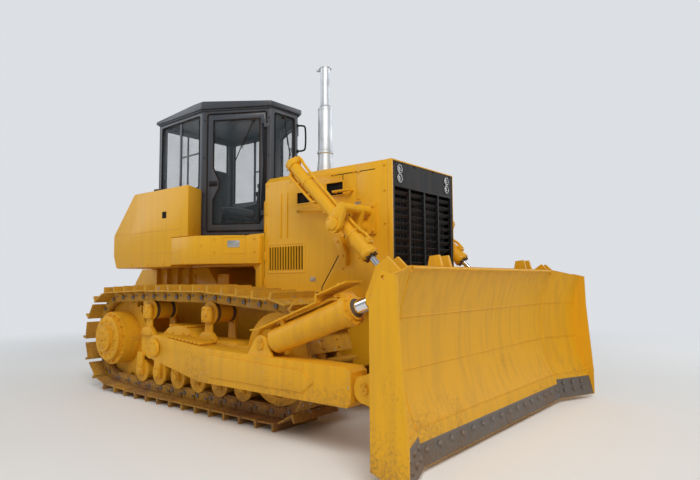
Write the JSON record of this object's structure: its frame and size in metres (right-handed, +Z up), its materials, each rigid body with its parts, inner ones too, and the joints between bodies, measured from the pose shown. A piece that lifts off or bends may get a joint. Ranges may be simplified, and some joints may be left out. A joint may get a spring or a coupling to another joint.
{
  "type": "crawler bulldozer",
  "caption": "Crawler bulldozer with a lifting semi-U blade on push arms, an enclosed angular cab with hinged doors, a tall exhaust pipe and a rear drawbar.",
  "frame": {"origin": "on the ground under the middle of the machine's bounding box, which is 1.802 m in front of the sprocket axles", "axes": "+X forwards to the blade, +Y to the machine's left, +Z up"},
  "size_m": [5.5156, 3.724, 3.815],
  "materials": {
    "track_steel": "worn, earth stained",
    "yellow_paint": "gloss, dusty",
    "dark_paint": "satin",
    "black_paint": "satin",
    "cast_parts": "rough",
    "chrome": "polished",
    "stack_steel": "satin",
    "glass": "tinted",
    "lamp_lens": "clear",
    "seat_cover": "woven",
    "black_plastic": "matt"
  },
  "bodies": {
    "machine": {"track_r": "track_steel", "sprocket_r": "yellow_paint", "idler_r": "yellow_paint", "rollers_r": "yellow_paint", "track_frame_r": "yellow_paint", "side_panel_r": "yellow_paint", "fender_r": "yellow_paint", "lift_yoke_r": "yellow_paint", "track_l": "track_steel", "sprocket_l": "yellow_paint", "idler_l": "yellow_paint", "rollers_l": "yellow_paint", "track_frame_l": "yellow_paint", "side_panel_l": "yellow_paint", "fender_l": "yellow_paint", "lift_yoke_l": "yellow_paint", "main_frame": "yellow_paint", "drawbar": "cast_parts", "cross_shafts": "yellow_paint", "engine_block": "cast_parts", "hood": "yellow_paint", "radiator_guard": "yellow_paint", "radiator_grille": "black_paint", "headlamps": "lamp_lens", "exhaust_stack": "stack_steel", "fuel_tank": "yellow_paint", "cab_platform": "yellow_paint", "cab_frame": "dark_paint", "cab_glass": "glass", "cab_roof": "dark_paint", "seat": "seat_cover", "control_console": "black_plastic", "handrails": "yellow_paint"},
    "blade_frame": {"blade": "yellow_paint", "push_arm_r": "yellow_paint", "push_arm_l": "yellow_paint", "tilt_cylinder": "yellow_paint", "tilt_rod": "chrome", "blade_brace": "yellow_paint"},
    "lift_barrel_r": {"lift_barrel_r": "yellow_paint"},
    "lift_rod_r": {"lift_rod_r": "chrome"},
    "door_r": {"door_r": "dark_paint", "door_glass_r": "glass"},
    "lift_barrel_l": {"lift_barrel_l": "yellow_paint"},
    "lift_rod_l": {"lift_rod_l": "chrome"},
    "door_l": {"door_l": "dark_paint", "door_glass_l": "glass"}
  },
  "joints": [
    {"name": "blade_lift", "type": "hinge", "parent": "machine", "child": "blade_frame", "pos_m": [-0.372, 0, 0.64], "axis": [0, -1, 0], "range_deg": [-11, 23]},
    {"name": "lift_swing_r", "type": "hinge", "parent": "machine", "child": "lift_barrel_r", "pos_m": [1.4384, -0.83, 1.7789], "axis": [0, -1, 0], "range_deg": [-19.9, 41.5]},
    {"name": "lift_slide_r", "type": "slide", "parent": "lift_barrel_r", "child": "lift_rod_r", "axis": [0.7132, 0, -0.7009], "range_m": [-0.619, 0.296]},
    {"name": "door_r", "type": "hinge", "parent": "machine", "child": "door_r", "pos_m": [-0.2123, -0.2681, 2.57], "axis": [0, 0, 1], "range_deg": [0, 90]},
    {"name": "lift_swing_l", "type": "hinge", "parent": "machine", "child": "lift_barrel_l", "pos_m": [1.4384, 0.83, 1.7789], "axis": [0, -1, 0], "range_deg": [-19.9, 41.5]},
    {"name": "lift_slide_l", "type": "slide", "parent": "lift_barrel_l", "child": "lift_rod_l", "axis": [0.7132, 0, -0.7009], "range_m": [-0.619, 0.296]},
    {"name": "door_l", "type": "hinge", "parent": "machine", "child": "door_l", "pos_m": [-0.2123, 0.2681, 2.57], "axis": [0, 0, -1], "range_deg": [0, 90]}
  ],
  "couplings": [
    {"joint": "lift_swing_r", "follows": "blade_lift", "ratio": 1.8},
    {"joint": "lift_slide_r", "follows": "blade_lift", "m_per_rad": -1.54},
    {"joint": "lift_swing_l", "follows": "blade_lift", "ratio": 1.8},
    {"joint": "lift_slide_l", "follows": "blade_lift", "m_per_rad": -1.54}
  ]
}
